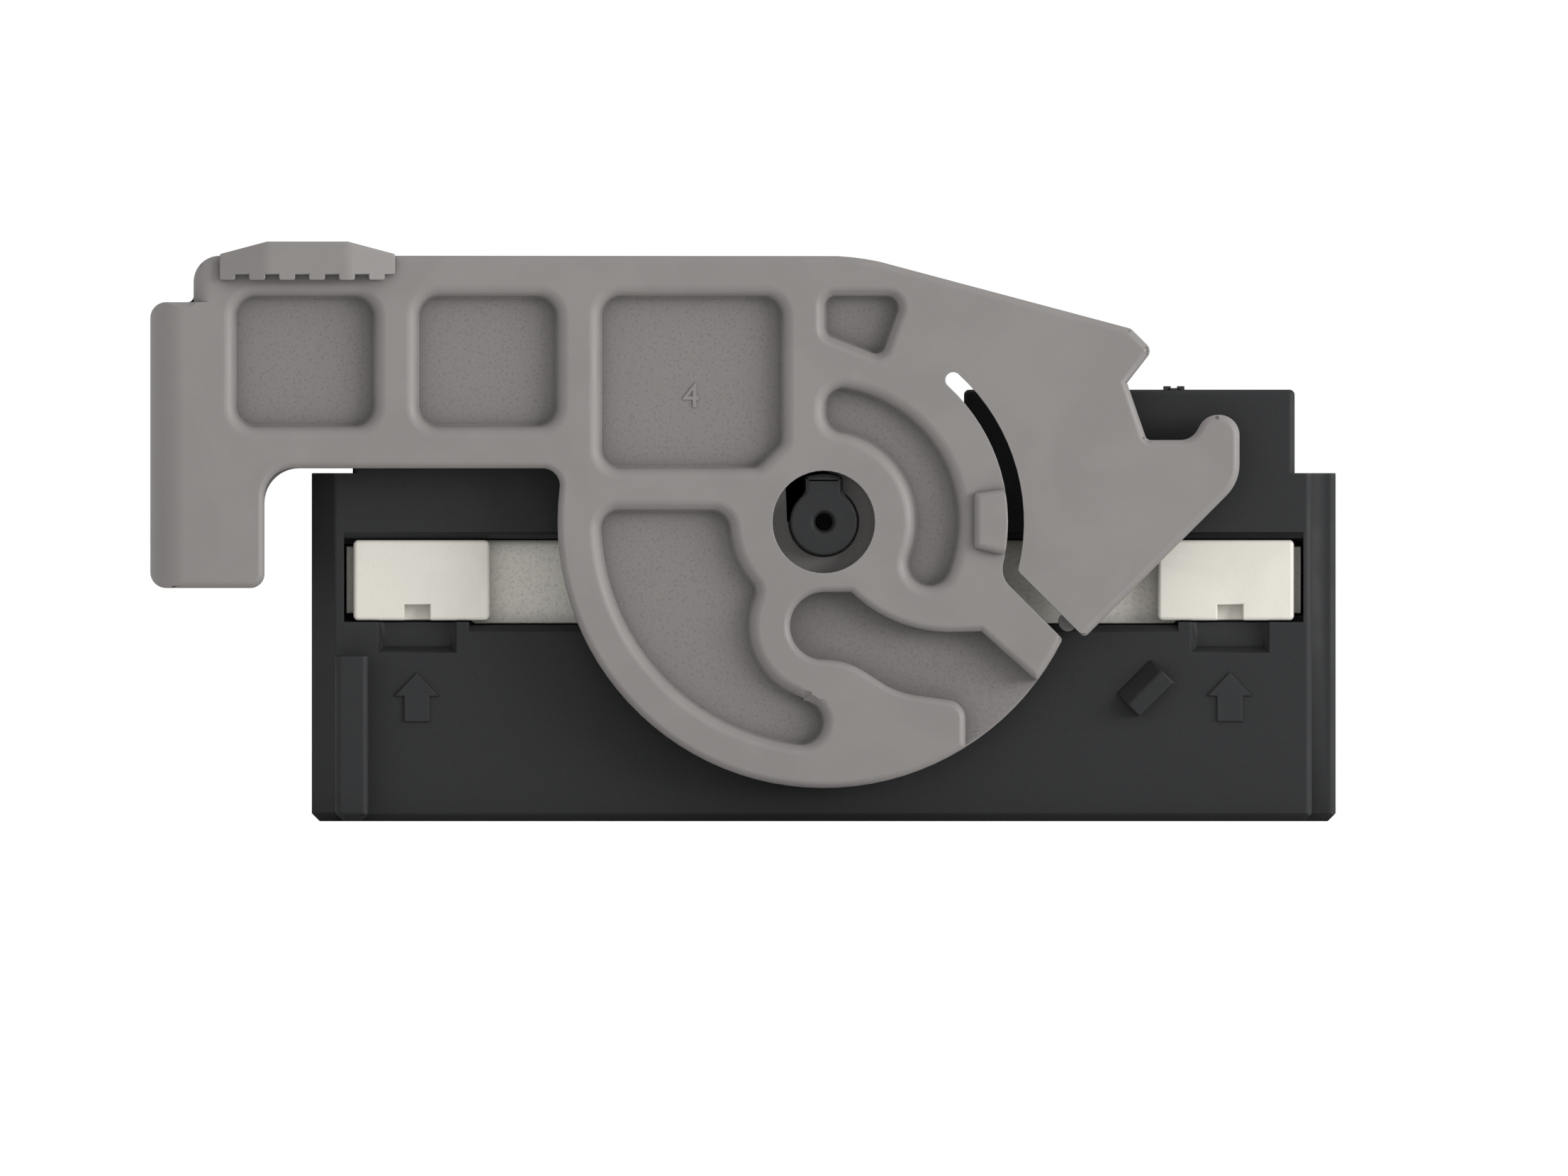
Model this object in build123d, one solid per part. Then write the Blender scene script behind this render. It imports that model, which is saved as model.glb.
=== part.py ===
from build123d import *
import os
from math import acos, atan, cos, degrees, hypot, radians, sin, sqrt, tan

# A lever connector housing: X runs along it, Y is its depth with the lock's side at -Y, and Z is up.
# The origin is the middle of the mating face. All sizes are in millimetres.

# How far a block runs into the one that it joins, and how far a cut runs past the face that it opens
embed = 0.4
past = 1.0

# Housing body
housing_length = 65.0
end_step_length = 1.5
body_depth = 22.0
end_set_back = 1.4
end_top = 22.1
foot_chamfer = 0.5
body_edge_r = 0.45

# Signal block and power tower on the wire side
field_inset = 1.1
tower_left = 8.9
signal_top = 24.6
tower_top = 27.4
tower_edge_r = 0.4
tower_bevel = 0.2

# Terminal cavities
signal_columns = 14
signal_rows = 4
signal_pitch_x = 2.54
signal_pitch_y = 4.8
signal_first_x = -27.4
signal_cavity_x = 1.9
signal_cavity_y = 2.3
signal_pin = 0.9
power_columns = 4
power_rows = 3
power_pitch_x = 4.9
power_pitch_y = 6.4
power_first_x = 11.6
power_cavity_x = 3.3
power_cavity_y = 3.9
power_pin_x = 1.2
power_pin_y = 3.1
front_plate = 1.6
lead_in = 0.35

# Secondary lock: a bar in the window, with a grid plate behind it
lock_end_gap = 1.15
lock_pad_length = 8.65
lock_bottom = 12.75
lock_top = 17.85
lock_middle_drop = 0.2
lock_step_reach = 1.2
lock_bar_depth = 2.0
lock_set_back = 1.6
lock_travel = 1.2
lock_corner_r = 0.3
plate_end_gap = 0.7
plate_bottom = 13.2
plate_top = 17.45
plate_end_y = 9.2
pry_notch_length = 1.6
pry_notch_height = 1.0
pry_notch_depth = 1.0
pry_notch_inset = 4.05
latch_width = 0.8
latch_slit = 0.4
latch_root_y = 0.5
nub_reach = 0.55
nub_length = 1.0
nub_y = 7.6
nub_margin = 1.0
nub_gap = 0.3
lock_gap = 0.15
plate_gap = 0.12
window_gap = 0.1
slot_end_gap = 0.2

# Window in the front wall
window_bevel = 0.42
recess_length = 5.0
recess_foot = 10.7
recess_depth = 0.8
recess_draft = 0.42
recess_overlap = 0.6

# Lever: flat arms that stand clear of the bumps and of the lock's way out, pivoting on the housing's posts
pivot_height = 19.0
arm_clearance = 0.2
arm_thickness = 3.0
disk_r = 16.9
rim_bevel = 0.3
panel_bevel = 0.5
pocket_depth = 1.4
panel_top = 14.3
square_pocket_width = 8.8
groove_depth = 2.0
arm_bottom = 3.4
handle_gap = 3.0
handle_width = 7.25
handle_step = 2.75
handle_bottom = -4.2
handle_top = 13.95
handle_end_r = 2.2
arm_end_r = 1.1
handle_wall = 1.7
handle_ribs = 3
handle_rib_thickness = 1.2
web_overlap = 1.3

# The lever's spring slot and the channel that frees the wing
slot_width = 1.0
slot_r = 12.2
slot_top_angle = 47.6
channel_inner = 7.74
channel_outer = 9.2
tip_r = 0.3
nib_length = 1.8
tab_height = 0.8

# Grip on the lever's top edge
grip_inset = 1.65
grip_length = 11.15
grip_top = 17.8
grip_bottom = 15.35
grip_reach = 1.5
grip_slope = 3.0
grip_tooth_pitch = 1.9
grip_tooth_gap = 0.86
grip_tooth_depth = 0.36
grip_tooth_start = 1.0
grip_shoulder = 0.8
grip_end_reach = 0.5

# Posts, bores and the cam groove
post_r = 2.15
post_clearance = 0.05
shoulder_r = 4.0
shoulder_gap = 0.1
hub_clearance = 0.15
hub_floor = 1.3
lobe_half_width = 1.2
lobe_reach = 0.95
lobe_thickness = 1.0
lobe_blend_r = 0.8
lobe_tip_r = 0.25
lobe_clearance = 0.15
post_hole_r = 0.55
post_hole_rim = 0.2
post_hole_rim_depth = 0.35
post_bevel = 0.15
key_angle = 112.0
key_clearance = 0.08
peg_diameter = 4.0
groove_clearance = 0.14
groove_seat_y = -6.6

# Ribs and bumps on the side walls
key_rib_width = 2.1
key_rib_height = 10.5
key_rib_reach = 2.0
bump_height = 1.1
bump_foot = 0.12
bump_length = 3.1
bump_width = 2.05
bump_radius = 22.97
bump_angle = -27.3

# Values worked out from the sizes above
half_depth = body_depth / 2
body_end = housing_length / 2
wall_end = body_end - end_step_length
field_end = wall_end - field_inset
lock_end = wall_end - lock_end_gap
plate_end = wall_end - plate_end_gap
pry_notch_x = lock_end - pry_notch_inset
arm_inner = half_depth + lock_travel + arm_clearance
arm_outer = arm_inner + arm_thickness
handle_right = -body_end - handle_gap
handle_left = handle_right - handle_width
arm_left = handle_left + handle_step
web_end = web_overlap - body_end
grip_left = arm_left + grip_inset
grip_right = grip_left + grip_length
lobe_r = post_r + lobe_reach
hub_r = lobe_r + hub_clearance
window_bottom = lock_bottom - lock_middle_drop - window_gap
window_top = lock_top + window_gap
slot_half = plate_end + lock_gap
slot_bottom = plate_bottom - plate_gap
slot_top = plate_top + plate_gap


def rounded(*corners):
    """A flat outline through (x, y, radius) corners."""
    points = [(x, y) for x, y, _ in corners]
    radii = [r for _, _, r in corners]
    return make_face(FilletPolyline(*points, radius=radii, close=True))


def facing(depth):
    """A plane parallel to the front wall, this far in front of the middle, at the pivot's height."""
    return Plane((0, -depth, pivot_height), x_dir=(1, 0, 0), z_dir=(0, -1, 0))


def both_sides(shape):
    """A front feature and its mirror image on the back."""
    return shape + mirror(shape, about=Plane.XZ)


def block(x, y, z):
    """A box between pairs of limits."""
    middle = [(low + high) / 2 for low, high in (x, y, z)]
    return Pos(*middle) * Box(x[1] - x[0], y[1] - y[0], z[1] - z[0])


def on_circle(radius, degrees):
    return radius * cos(radians(degrees)), radius * sin(radians(degrees))


# Terminal fields

def field(first_x, pitch_x, columns, pitch_y, rows, cell):
    """One cell repeated over a field of columns and rows, centred in the depth."""
    first_y = -pitch_y * (rows - 1) / 2
    cells = []
    for column in range(columns):
        for row in range(rows):
            cells.append(Pos(first_x + column * pitch_x, first_y + row * pitch_y) * cell)
    return Sketch() + cells


def signal_field(cell):
    return field(signal_first_x, signal_pitch_x, signal_columns, signal_pitch_y, signal_rows, cell)


def power_field(cell):
    return field(power_first_x, power_pitch_x, power_columns, power_pitch_y, power_rows, cell)


def shafts(cells, bottom, top):
    return extrude(Plane.XY.offset(bottom) * cells, amount=top - bottom)


def funnels(cells, z, depth):
    """Lead-ins that narrow from the face at z into the body."""
    turned = Plane((0, 0, z), x_dir=(1, 0, 0), z_dir=(0, 0, 1 if depth > 0 else -1))
    placed = turned * (cells if depth > 0 else mirror(cells, about=Plane.XZ))
    return extrude(placed, amount=abs(depth), taper=45)


# Housing

def body_plan():
    """The body seen from above: proud long walls, a stepped right end and a slanted left end."""
    end, wall, inner = body_end, wall_end, half_depth - end_set_back
    return Polygon(
        (-wall, -half_depth), (wall, -half_depth), (wall, -inner), (end, -inner), (end, inner),
        (wall, inner), (wall, half_depth), (-wall, half_depth), (-end, inner), (-end, -inner), align=None,
    )


def body_shell():
    base = extrude(body_plan(), amount=end_top)
    base = chamfer(base.faces().sort_by(Axis.Z)[0].outer_wire().edges(), foot_chamfer)
    uprights = base.edges().filter_by(Axis.Z)
    wall_corners = [e for e in uprights if e.center().X > 0 and abs(e.center().Y) > half_depth - 0.1]
    end_corners = [e for e in uprights if e.center().X > body_end - 0.1]
    base = fillet(wall_corners + end_corners, body_edge_r)
    signal = block((-field_end, tower_left + past), (-half_depth, half_depth), (end_top - past, signal_top))
    signal = fillet(signal.edges().filter_by(Axis.Z).group_by(Axis.X)[0], tower_edge_r)
    tower = block((tower_left, field_end), (-half_depth, half_depth), (end_top - past, tower_top))
    tower = fillet(tower.edges().filter_by(Axis.Z), tower_edge_r)
    tower = chamfer(tower.faces().sort_by(Axis.Z)[-1].edges(), tower_bevel)
    return base + signal + tower


def shoulder():
    """The D-shaped seat above the window, which the lever's disk turns against."""
    low = window_top + window_bevel + window_gap - pivot_height
    plan = Circle(shoulder_r) & (Pos(0, low + shoulder_r) * Rectangle(2 * shoulder_r, 2 * shoulder_r))
    start = half_depth - embed
    return extrude(facing(start) * plan, amount=arm_inner - shoulder_gap - start)


def post():
    """A pivot post whose lobe keeps the lever on it."""
    lobe_start = arm_inner + hub_floor + lobe_clearance
    end = lobe_start + lobe_thickness
    root = half_depth - lock_set_back + lock_travel + lock_gap
    shaft = extrude(facing(root) * Circle(post_r), amount=end - root)
    neck = Pos(0, lobe_r / 2) * Rectangle(2 * lobe_half_width, lobe_r)
    head_plan = Circle(post_r) + (neck & Circle(lobe_r))
    blends = [v for v in head_plan.vertices() if abs(hypot(v.X, v.Y) - post_r) < 0.01 and v.Y > 0]
    head_plan = fillet(blends, lobe_blend_r)
    tips = [v for v in head_plan.vertices() if abs(hypot(v.X, v.Y) - lobe_r) < 0.01]
    head_plan = fillet(tips, lobe_tip_r)
    head = extrude(facing(lobe_start) * head_plan, amount=lobe_thickness)
    head = chamfer(head.faces().sort_by(Axis.Y)[0].edges(), post_bevel)
    hole = extrude(facing(end) * Circle(post_hole_r), amount=-(end - half_depth - embed))
    slope = degrees(atan(post_hole_rim / post_hole_rim_depth))
    rim = extrude(facing(end) * Circle(post_hole_r + post_hole_rim), amount=-post_hole_rim_depth, taper=slope)
    return shaft + head + shoulder() - hole - rim


def bump():
    """The ramped diamond that holds the open lever by the pocket of its wing."""
    half = bump_width / 2
    section = Polygon(
        (-half, -embed), (-half, bump_foot), (0, bump_height), (half, bump_height), (half, -embed), align=None
    )
    prism = extrude(section, amount=bump_length / 2, both=True)
    x, z = on_circle(bump_radius, bump_angle)
    place = Plane(
        (x, -half_depth, pivot_height + z), x_dir=(cos(radians(45)), 0, -sin(radians(45))),
        z_dir=(-cos(radians(45)), 0, -sin(radians(45))),
    )
    return place * prism


def key_rib():
    """The polarising rib with a rounded long edge and a chamfered foot."""
    front = half_depth + key_rib_reach
    rib = block((-wall_end, key_rib_width - wall_end), (-front, embed - half_depth), (0, key_rib_height))
    foot = rib.faces().sort_by(Axis.Z)[0].edges().sort_by(Axis.Y)[:-1]
    rib = chamfer(foot, foot_chamfer)
    outer = rib.faces().sort_by(Axis.Y)[0]
    return fillet(outer.edges().filter_by(Axis.Z), body_edge_r)


def bevel_strip(edge, outward, reach):
    """What bevels the window's upper edge (outward is 1) or its lower one (outward is -1)."""
    face, inside, outside = -half_depth, window_bevel - half_depth, -window_bevel - half_depth
    section = Polygon(
        (outside, edge + outward * (inside - outside)), (inside, edge), (inside, edge - outward * embed),
        (outside, edge - outward * embed), (outside, edge), align=None,
    )
    across = Plane((0, 0, 0), x_dir=(0, 1, 0), z_dir=(1, 0, 0))
    return extrude(across * section, amount=reach, both=True)


def window():
    """The opening for the lock's bar, bevelled along its top and bottom."""
    step = lock_end - lock_pad_length + lock_step_reach + window_gap
    y = (-half_depth - past, lock_bar_depth + lock_gap - half_depth)
    mouth = block((-slot_half, slot_half), y, (lock_bottom - window_gap, window_top))
    middle = block((-step, step), y, (window_bottom, window_top))
    return mouth + middle + bevel_strip(window_top, 1, slot_half) + bevel_strip(window_bottom, -1, step)


def finger_recess(x):
    """The tapered recess below a pry notch, open to the window."""
    top = lock_bottom + recess_overlap
    middle = (recess_foot + top) / 2
    face = Plane((x, -half_depth, middle), x_dir=(1, 0, 0), z_dir=(0, 1, 0))
    draft = degrees(atan(recess_draft / recess_depth))
    return extrude(face * Rectangle(recess_length, top - recess_foot), amount=recess_depth, taper=draft)


def lock_slot():
    """The passage for the grid plate, with the notches that its nubs travel in."""
    slot = block((-slot_half, slot_half), (-half_depth, plate_end_y + slot_end_gap), (slot_bottom, slot_top))
    y = (nub_y - nub_length / 2 - lock_travel - window_gap, nub_y + nub_length / 2 + window_gap)
    z = (plate_bottom + nub_margin - nub_gap, plate_top - nub_margin + nub_gap)
    reach = slot_half + nub_reach
    return slot + block((-reach, reach), y, z)


def cavities():
    """Stepped terminal passages: wide from the wire side, pin-sized in the front plate."""
    signal_cell = Rectangle(signal_cavity_x, signal_cavity_y)
    power_cell = Rectangle(power_cavity_x, power_cavity_y)
    signal_hole = Rectangle(signal_pin, signal_pin)
    power_hole = Rectangle(power_pin_x, power_pin_y)
    signal_mouth = Rectangle(signal_pin + 2 * lead_in, signal_pin + 2 * lead_in)
    power_mouth = Rectangle(power_pin_x + 2 * lead_in, power_pin_y + 2 * lead_in)
    cut = shafts(signal_field(signal_cell), front_plate, signal_top)
    cut += shafts(power_field(power_cell), front_plate, tower_top)
    cut += shafts(signal_field(signal_hole), 0, front_plate + embed)
    cut += shafts(power_field(power_hole), 0, front_plate + embed)
    cut += funnels(signal_field(signal_mouth), 0, lead_in)
    cut += funnels(power_field(power_mouth), 0, lead_in)
    return cut


def housing():
    body = body_shell() + both_sides(key_rib())
    body -= window() + lock_slot()
    body -= finger_recess(-pry_notch_x) + finger_recess(pry_notch_x)
    body -= cavities()
    return body + both_sides(post()) + both_sides(bump())


# Secondary lock

def lock_bar():
    """The bar that fills the window: two proud pads and a set-back middle."""
    half = lock_end
    inner = half - lock_pad_length
    front = -half_depth
    back = front + lock_bar_depth
    bar = block((-half, half), (front, back), (lock_bottom, lock_top))
    bar = fillet(bar.edges().filter_by(Axis.Y), lock_corner_r)
    bar -= block(
        (-inner, inner), (front - past, front + lock_set_back), (lock_bottom - past, lock_top + past)
    )
    step = inner + lock_step_reach
    low = lock_bottom - lock_middle_drop
    drop = Polygon(
        (-step, lock_bottom + embed), (-step, lock_bottom), (lock_middle_drop - step, low),
        (step - lock_middle_drop, low), (step, lock_bottom), (step, lock_bottom + embed), align=None,
    )
    lip = extrude(Plane.XZ.offset(half_depth - lock_set_back) * drop, amount=lock_set_back - lock_bar_depth)
    return bar + lip


def pry_notch(x):
    half = pry_notch_length / 2
    z = (lock_bottom - past, lock_bottom + pry_notch_height)
    return block((x - half, x + half), (-half_depth - past, pry_notch_depth - half_depth), z)


def latch_cut(side):
    """The slit that frees a latch finger at the plate's end."""
    inner = plate_end - latch_width
    x = sorted((side * inner, side * (inner - latch_slit)))
    return block(x, (latch_root_y, plate_end_y + past), (plate_bottom - past, plate_top + past))


def latch_nub():
    """The wedge nub that snaps into the housing's right end wall."""
    half = nub_length / 2
    root = plate_end - embed
    tip = plate_end + nub_reach
    plan = Polygon(
        (root, nub_y - half), (tip, nub_y - half), (tip, nub_y), (root, nub_y + half), align=None
    )
    low = plate_bottom + nub_margin
    return extrude(Plane.XY.offset(low) * plan, amount=plate_top - nub_margin - low)


def secondary_lock():
    bar_back = lock_bar_depth - half_depth
    plate = block((-plate_end, plate_end), (bar_back - embed, plate_end_y), (plate_bottom, plate_top))
    signal_cell = Rectangle(signal_cavity_x, signal_cavity_y)
    power_cell = Rectangle(power_cavity_x, power_cavity_y)
    grid = signal_field(signal_cell) + power_field(power_cell)
    holes = Pos(0, lock_travel, 0) * shafts(grid, plate_bottom - past, plate_top + past)
    lock = lock_bar() + plate - holes
    for side in (-1, 1):
        lock = lock - pry_notch(side * pry_notch_x) - latch_cut(side)
    return lock + latch_nub() + mirror(latch_nub(), about=Plane.YZ)


# Lever

def arm_outline():
    """The handle, arm, disk and wing of one arm, seen from the front, about the pivot."""
    arm = rounded(
        (handle_left, handle_bottom, 1.0), (handle_left, handle_top, 1.0), (arm_left, handle_top, 0.4),
        (arm_left, disk_r, 1.65), (0, disk_r, 0), (0, arm_bottom, 0), (handle_right, arm_bottom, 1.8),
        (handle_right, handle_bottom, 0.9),
    )
    outline = arm + Circle(disk_r)
    corner = outline.vertices().sort_by_distance((-disk_r, arm_bottom))[0]
    return fillet(corner, 1.1) + wing_outline()


def wing_tip():
    """Where the wing's tangent edge meets the channel."""
    tangent = disk_r * sqrt(2)
    return (tangent + channel_outer) / 2, (channel_outer - tangent) / 2


def wing_outline():
    """The wing right of the slot: a nose, a pocket that seats on the bump, and a hook."""
    slope_x, slope_y = on_circle(disk_r, 75)
    nose_x = 19.5
    nose_y = slope_y - (nose_x - slope_x) * tan(radians(15))
    tangent = disk_r * sqrt(2)
    hook_x = 26.4
    knee_x, knee_y = on_circle(slot_r, -14)
    return rounded(
        (slope_x, slope_y, 0), (nose_x, nose_y, 0.5), (nose_x + 1.38, nose_y - 1.37, 0.55),
        (19.26, 8.82, 0), (20.51, 5.2, 0.35), (23.35, 5.2, 1.2), (24.27, 6.8, 1.3),
        (hook_x, 6.8, 1.3), (hook_x, hook_x - tangent, 2.8), (*wing_tip(), 0),
        (knee_x + 0.4, channel_outer - knee_x - 0.4, 0), (0, 0, 0),
    )


def spring_slot():
    """The arc slot and the straight channel that part the wing from the disk, with a rounded knee."""
    inner = slot_r - slot_width / 2
    outer = slot_r + slot_width / 2
    sweep = Polygon(
        (0, 0), on_circle(30, -20), on_circle(30, 15), on_circle(30, slot_top_angle), align=None
    )
    past_channel = Polygon(
        (channel_inner, 0), (40, channel_inner - 40), (40, 40), (0, 40), (0, channel_inner), align=None
    )
    arc = (Circle(outer) - Circle(inner)) & sweep & past_channel
    cap = Pos(*on_circle(slot_r, slot_top_angle)) * Circle(slot_width / 2)
    start, end = slot_r - 0.6, slot_r + 8
    band = Polygon(
        (start, channel_inner - start), (end, channel_inner - end), (end + 1, channel_outer - end - 1),
        (start + 0.7, channel_outer - start - 0.7), align=None,
    )
    slot = arc + cap + band
    disk_knee = slot.vertices().sort_by_distance((11.18, -3.44))[0]
    slot = fillet(disk_knee, 1.5)
    wing_knee = slot.vertices().sort_by_distance((12.3, -3.1))[0]
    return fillet(wing_knee, 0.36)


def arm_pockets():
    """The sunk panels that leave ribs of even thickness."""
    return [
        square_pocket(arm_left + 2.65),
        square_pocket(arm_left + 14.25),
        rounded(
            (-14.15, panel_top, 1.2), (-2.65, panel_top, 1.2), (-2.65, 5.0, 0.8), (-4.2, 3.45, 0.8),
            (-14.15, 3.45, 1.2),
        ),
        rounded((0.1, panel_top, 0.6), (5.0, panel_top, 0.7), (3.65, 10.55, 0.55), (0.1, 11.95, 0.6)),
        kidney_pocket(),
        lower_pocket(),
    ]


def square_pocket(left):
    """One of the two panels on the arm, between its ribs."""
    right, top, low, corner_r = left + square_pocket_width, panel_top, 6.1, 1.25
    return rounded(
        (left, top, corner_r), (right, top, corner_r), (right, low, corner_r), (left, low, corner_r)
    )


def kidney_pocket():
    """The curved panel round the hub's upper right."""
    inner, outer, end_angle, left = 5.85, 8.55, -21.7, 0.1
    middle = on_circle((inner + outer) / 2, end_angle)
    turn = on_circle((outer - inner) / 2, end_angle - 90)
    tip = (middle[0] + turn[0], middle[1] + turn[1])
    outer_end = (left, sqrt(outer ** 2 - left ** 2))
    inner_end = (left, sqrt(inner ** 2 - left ** 2))
    with BuildLine() as path:
        ThreePointArc(on_circle(outer, end_angle), on_circle(outer, 35), outer_end)
        Line(outer_end, inner_end)
        ThreePointArc(inner_end, on_circle(inner, 35), on_circle(inner, end_angle))
        ThreePointArc(on_circle(inner, end_angle), tip, on_circle(outer, end_angle))
    panel = make_face(path.line)
    return fillet([v for v in panel.vertices() if v.X < left + 0.1], 1.1)


def lower_pocket():
    """The large panel at the disk's lower left, between the rim, the hub and the cam groove."""
    top, outer, hub_side, end_angle = 0.72, 14.2, 5.95, -96.5
    seat = Pos(0, groove_seat_y) * Circle(4.75)
    wedge = Polygon((0, 0), (0, top), (-20, top), (-20, -20), on_circle(30, end_angle), align=None)
    panel = (Circle(outer) & wedge) - Circle(hub_side) - seat
    panel = fillet([v for v in panel.vertices() if v.Y > top - 0.01], 1.15)
    cusp = panel.vertices().sort_by_distance((-4.14, -4.27))[0]
    panel = fillet(cusp, 0.9)
    return panel + Pos(*on_circle(outer - 1.4, end_angle)) * Circle(1.4)


def cam_groove():
    """The track for the mating part's peg, from its seat below the hub out to the rim."""
    r = peg_diameter / 2 + groove_clearance
    seat_y = groove_seat_y
    with BuildLine() as track:
        Line((0, seat_y + r), (1.75, seat_y + r))
        ThreePointArc((1.75, seat_y + r), (4.3, -6.2), (7.9, -7.0))
        Line((7.9, -7.0), (10.0, -6.95))
        Line((10.0, -6.95), (15.5, -11.85))
        Line((15.5, -11.85), (15.5, -18))
        Line((15.5, -18), (9.0, -18))
        Line((9.0, -18), (9.0, -12.6))
        ThreePointArc((9.0, -12.6), (8.75, -11.75), (8.0, -11.3))
        Spline((8.0, -11.3), (4.4, -10.6), (0, seat_y - r), tangents=[(-1, 0.15), (-1, 0)])
        ThreePointArc((0, seat_y - r), (-r, seat_y), (0, seat_y + r))
    return make_face(track.line)


def hub_key():
    """The way through the hub's floor for the post's lobe, at the angle of assembly."""
    half = lobe_half_width + key_clearance
    cut = Pos(lobe_r / 2, 0) * Rectangle(lobe_r, 2 * half)
    return Rot(0, 0, key_angle) * (cut & Circle(lobe_r + key_clearance))


def on_face(shape, depth):
    """The edges of a shape that lie flat on the plane this far in front of the middle."""
    return shape.edges().filter_by_position(Axis.Y, -depth - 0.001, 0.001 - depth)


def panelled(plate, panel):
    """Sinks one panel into the arm's outer face and breaks its rim."""
    before = set(hash(edge) for edge in on_face(plate, arm_outer))
    plate -= extrude(facing(arm_outer) * panel, amount=-pocket_depth)
    return chamfer([edge for edge in on_face(plate, arm_outer) if hash(edge) not in before], panel_bevel)


def grooved(plate):
    """Cuts the cam groove into the arm's outer face and breaks its rim inside the disk."""
    plate -= extrude(facing(arm_outer) * cam_groove(), amount=-groove_depth)
    centres = [(edge, edge.center()) for edge in on_face(plate, arm_outer)]
    rim = [edge for edge, c in centres if hypot(c.X, c.Z - pivot_height) < disk_r - 1]
    return chamfer(rim, rim_bevel)


def upright_near(plate, tip):
    """The upright edge of a plate at a tip of its outline."""
    place = (tip[0], -arm_outer, pivot_height + tip[1])
    return plate.edges().filter_by(Axis.Y).sort_by_distance(place)[0]


def arm():
    """One arm, at the front."""
    bridge = Polygon((10, -5), on_circle(disk_r, -26), wing_tip(), (13, -3.5), align=None)
    plate = extrude(facing(arm_inner) * (arm_outline() + bridge), amount=arm_thickness)
    plate = grooved(chamfer(on_face(plate, arm_outer), rim_bevel))
    for panel in arm_pockets():
        plate = panelled(plate, panel)
    plate -= extrude(facing(arm_inner - past) * spring_slot(), amount=arm_thickness + 2 * past)
    plate -= extrude(facing(arm_outer) * Circle(hub_r), amount=-(arm_thickness - hub_floor))
    bore = Circle(post_r + post_clearance) + hub_key()
    plate -= extrude(facing(arm_inner) * bore, amount=arm_thickness)
    finger_angle = 45 - degrees(acos(channel_inner / (disk_r * sqrt(2))))
    tips = [upright_near(plate, tip) for tip in (wing_tip(), on_circle(disk_r, finger_angle))]
    return fillet(tips, tip_r) + wing_nib() + disk_tab()


def wing_nib():
    """The nib beside the wing's tip that closes the channel's mouth behind the finger."""
    nib = Pos(15.48, -6.35) * Circle(0.6)
    return extrude(facing(arm_inner) * nib, amount=nib_length)


def disk_tab():
    """The raised pad beside the slot that keeps the mating part clear of the wing."""
    plan = Polygon(
        (9.55, 1.85), (9.55, -1.65), (11.4, -2.1), on_circle(slot_r - slot_width / 2, -8),
        on_circle(slot_r - slot_width / 2, 0), on_circle(slot_r - slot_width / 2, 8), (11.4, 2.1), align=None,
    )
    tab = extrude(facing(arm_outer - embed) * plan, amount=embed + tab_height)
    rim = on_face(tab, arm_outer + tab_height).filter_by(lambda e: e.center().X < 11.45)
    return chamfer(rim, rim_bevel)


def grip():
    """The raised finger grip across the lever's top, toothed under its overhanging ends."""
    left, right = grip_left, grip_right
    shoulder = grip_top - grip_shoulder
    front = Polygon(
        (left, grip_bottom), (left, shoulder), (left + grip_slope, grip_top),
        (right - grip_slope, grip_top), (right, shoulder), (right, grip_bottom), align=None,
    )
    reach = arm_outer + grip_reach
    low_reach = arm_outer + grip_end_reach
    plan = Polygon(
        (left, -low_reach), (left + grip_slope, -reach), (right - grip_slope, -reach), (right, -low_reach),
        (right, low_reach), (right - grip_slope, reach), (left + grip_slope, reach), (left, low_reach),
        align=None,
    )
    bar = extrude(facing(0) * front, amount=reach + past, both=True)
    bar &= extrude(Plane.XY.offset(pivot_height) * plan, amount=grip_top + past)
    roof = pivot_height + disk_r - handle_wall
    bar -= block((left - past, right + past), (-arm_inner, arm_inner), (pivot_height, roof))
    cut = Part()
    low = pivot_height + grip_bottom
    for tooth in range(int((right - left) / grip_tooth_pitch) + 1):
        x = left + grip_tooth_start + tooth * grip_tooth_pitch
        for side in (-1, 1):
            y = sorted((side * arm_outer, side * (reach + past)))
            cut += block((x, x + grip_tooth_gap), y, (low - past, low + grip_tooth_depth))
    return bar - cut


def handle():
    """The bridge between the arms: a box open below, stiffened by ribs, with a web that stops on the body."""
    outer = rounded(
        (handle_left, handle_bottom, 1.0), (handle_left, handle_top, 1.0), (arm_left, handle_top, 0.4),
        (arm_left, disk_r, 1.65), (grip_right, disk_r, 0), (grip_right, disk_r - handle_wall, 0),
        (handle_right, disk_r - handle_wall, 0.8), (handle_right, arm_bottom + handle_wall, 0.8),
        (web_end, arm_bottom + handle_wall, 0), (web_end, arm_bottom, 0.4), (handle_right, arm_bottom, 2.2),
        (handle_right, handle_bottom, 0.9),
    )
    hollow = Polygon(
        (handle_left + handle_wall, handle_bottom - past),
        (handle_left + handle_wall, handle_top - handle_wall),
        (arm_left + handle_wall, handle_top - handle_wall),
        (arm_left + handle_wall, disk_r - handle_wall), (handle_right - handle_wall, disk_r - handle_wall),
        (handle_right - handle_wall, handle_bottom - past), align=None,
    )
    bridge = extrude(facing(0) * outer, amount=arm_inner + embed, both=True)
    spacing = 2 * arm_inner / (handle_ribs + 1)
    for cell in range(handle_ribs + 1):
        low = -arm_inner + cell * spacing + (handle_rib_thickness / 2 if cell else 0)
        high = -arm_inner + (cell + 1) * spacing - (handle_rib_thickness / 2 if cell < handle_ribs else 0)
        bridge -= extrude(facing(-low) * hollow, amount=low - high)
    return bridge


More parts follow.
